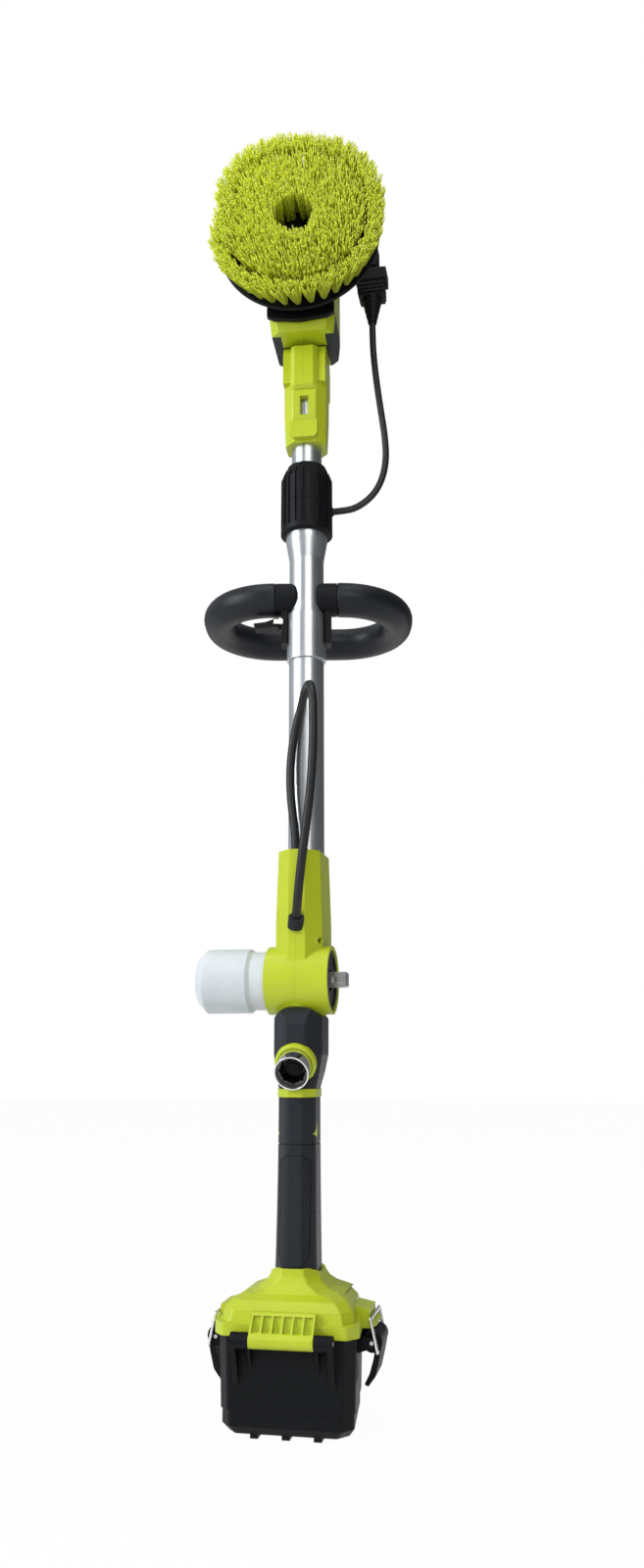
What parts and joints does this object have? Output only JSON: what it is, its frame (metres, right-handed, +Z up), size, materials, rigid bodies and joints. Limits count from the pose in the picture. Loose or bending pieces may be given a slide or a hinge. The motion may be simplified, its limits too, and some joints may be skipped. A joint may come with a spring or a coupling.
{
  "type": "cordless power scrubber",
  "caption": "Long-handled cordless scrubber: battery box with latched lid, trigger grip, water coupling, detergent bottle, telescopic pole, loop handle and tilting round brush head.",
  "frame": {"origin": "on the pole's axis, on the underside of the battery box's middle foot, where the object stands", "axes": "+Z up along the pole to the brush head, -Y the way the brush, the water coupling and the cable gland face, +X to the object's metering spindle and plug"},
  "size_m": [0.2074, 0.2408, 1.1226],
  "materials": {
    "lime_plastic": "satin moulded",
    "black_plastic": "fine texture",
    "dark_grey_plastic": "satin",
    "grip_rubber": "matt overmould",
    "foam": "smooth foam",
    "aluminium": "anodised",
    "steel": "brushed",
    "chrome": "polished",
    "white_bottle": "milky",
    "bristle": "filament",
    "cable_rubber": "matt"
  },
  "bodies": {
    "handle": {"outer_tube": "aluminium", "neck_left": "lime_plastic", "neck_right": "lime_plastic", "body_screws": "steel", "gland_ring": "grip_rubber", "lower_cable": "cable_rubber", "barrel_left": "dark_grey_plastic", "barrel_right": "dark_grey_plastic", "coupling_ring": "lime_plastic", "coupling_body": "steel", "grip_core": "dark_grey_plastic", "grip_pad": "grip_rubber", "grip_band": "lime_plastic", "control_board": "black_plastic", "metering_valve": "black_plastic", "metering_disc": "dark_grey_plastic", "box_lid": "lime_plastic", "box_gasket": "grip_rubber", "battery_pack": "black_plastic", "collar_base": "black_plastic", "lock_collet": "black_plastic"},
    "battery_box": {"box_tub": "black_plastic", "box_pins": "steel"},
    "lever_right": {"latch_lever_right": "black_plastic"},
    "lever_left": {"latch_lever_left": "black_plastic"},
    "bail_right": {"latch_bail_right": "chrome"},
    "bail_left": {"latch_bail_left": "chrome"},
    "bottle": {"detergent_bottle": "white_bottle"},
    "metering_drive": {"metering_spindle": "steel"},
    "coupling_lock": {"coupling_sleeve": "chrome"},
    "valve": {"check_valve": "black_plastic"},
    "trigger_key": {"trigger": "black_plastic"},
    "lock_key": {"lock_button": "lime_plastic"},
    "collar_twist_nut": {"collar_nut": "black_plastic"},
    "handle_sleeve": {"clamp_sleeve": "aluminium"},
    "loop_handle": {"handle_core": "steel", "handle_foam": "foam", "clamp_body": "black_plastic", "clamp_pin": "steel"},
    "cam_lever": {"clamp_lever": "black_plastic"},
    "pole_extension": {"inner_tube": "aluminium", "yoke_left": "lime_plastic", "yoke_right": "lime_plastic", "tilt_pin": "steel", "head_cable": "cable_rubber"},
    "scrub_head": {"head_shell_left": "lime_plastic", "head_shell_right": "lime_plastic", "head_nose": "black_plastic", "head_cheeks": "dark_grey_plastic", "head_motor": "steel", "spindle_bearing": "steel", "pigtail": "cable_rubber", "cable_plug": "black_plastic", "cable_socket": "black_plastic"},
    "motor_drive": {"motor_pinion": "steel"},
    "brush": {"brush_plate": "black_plastic", "brush_bristles": "bristle", "brush_tufts": "bristle", "brush_spindle": "steel", "spindle_gear": "steel"}
  },
  "joints": [
    {"name": "box_hinge", "type": "hinge", "parent": "handle", "child": "battery_box", "pos_m": [0, -0.087, 0.07], "axis": [-1, 0, 0], "range_deg": [0, 45]},
    {"name": "latch_lever_right", "type": "hinge", "parent": "battery_box", "child": "lever_right", "pos_m": [0.061, -0.028, 0.063], "axis": [0, -1, 0], "range_deg": [0, 22.5]},
    {"name": "latch_lever_left", "type": "hinge", "parent": "battery_box", "child": "lever_left", "pos_m": [-0.061, -0.028, 0.063], "axis": [0, 1, 0], "range_deg": [0, 22.5]},
    {"name": "latch_bail_right", "type": "hinge", "parent": "lever_right", "child": "bail_right", "pos_m": [0.0655, -0.028, 0.0572], "axis": [0, 1, 0], "range_deg": [0, 148.5]},
    {"name": "latch_bail_left", "type": "hinge", "parent": "lever_left", "child": "bail_left", "pos_m": [-0.0655, -0.028, 0.0572], "axis": [0, -1, 0], "range_deg": [0, 148.5]},
    {"name": "bottle_pull", "type": "slide", "parent": "handle", "child": "bottle", "axis": [-1, 0, 0], "range_m": [0, 0.07]},
    {"name": "metering_turn", "type": "hinge", "parent": "handle", "child": "metering_drive", "pos_m": [0.03, -0.018, 0.336], "axis": [1, 0, 0], "range_deg": [0, 90]},
    {"name": "coupling_release", "type": "slide", "parent": "handle", "child": "coupling_lock", "axis": [0, 0.9063, 0.4226], "range_m": [0, 0.004], "stiffness_N_per_m": 900, "springref_m": -0.002},
    {"name": "valve_open", "type": "slide", "parent": "handle", "child": "valve", "axis": [0, 0.9063, 0.4226], "range_m": [0, 0.003], "stiffness_N_per_m": 600, "springref_m": -0.002},
    {"name": "trigger_press", "type": "slide", "parent": "handle", "child": "trigger_key", "axis": [0, -1, 0], "range_m": [0, 0.006], "stiffness_N_per_m": 800, "springref_m": -0.003},
    {"name": "lock_push", "type": "slide", "parent": "handle", "child": "lock_key", "axis": [1, 0, 0], "range_m": [-0.0025, 0.0025]},
    {"name": "collar_twist", "type": "hinge", "parent": "handle", "child": "collar_twist_nut", "pos_m": [0, 0, 0.8], "axis": [0, 0, 1], "range_deg": [0, 90]},
    {"name": "handle_slide", "type": "slide", "parent": "handle", "child": "handle_sleeve", "axis": [0, 0, 1], "range_m": [-0.025, 0.018]},
    {"name": "handle_turn", "type": "hinge", "parent": "handle_sleeve", "child": "loop_handle", "pos_m": [0, 0, 0.688], "axis": [0, 0, 1], "range_deg": [-40, 40]},
    {"name": "cam_release", "type": "hinge", "parent": "loop_handle", "child": "cam_lever", "pos_m": [-0.02738, -0.00483, 0.664], "axis": [0.1736, -0.9848, 0], "range_deg": [0, 80]},
    {"name": "pole_slide", "type": "slide", "parent": "handle", "child": "pole_extension", "axis": [0, 0, 1], "range_m": [0, 0.3], "deforming": ["head_cable"]},
    {"name": "head_tilt", "type": "hinge", "parent": "pole_extension", "child": "scrub_head", "pos_m": [0, 0, 0.932], "axis": [0.9976, 0.0698, 0], "range_deg": [-45, 10], "deforming": ["head_cable"]},
    {"name": "brush_spin", "type": "hinge", "parent": "scrub_head", "child": "brush", "pos_m": [0.00419, -0.05985, 1.034], "axis": [0.0698, -0.9976, 0], "continuous": true},
    {"name": "pinion_spin", "type": "hinge", "parent": "scrub_head", "child": "motor_drive", "pos_m": [0.00419, -0.05985, 1.004], "axis": [0.0698, -0.9976, 0], "continuous": true}
  ],
  "couplings": [
    {"joint": "latch_lever_right", "follows": "box_hinge", "ratio": 0.5},
    {"joint": "latch_lever_left", "follows": "box_hinge", "ratio": 0.5},
    {"joint": "latch_bail_right", "follows": "box_hinge", "ratio": 3.3},
    {"joint": "latch_bail_left", "follows": "box_hinge", "ratio": 3.3},
    {"joint": "pinion_spin", "follows": "brush_spin", "ratio": -3}
  ]
}
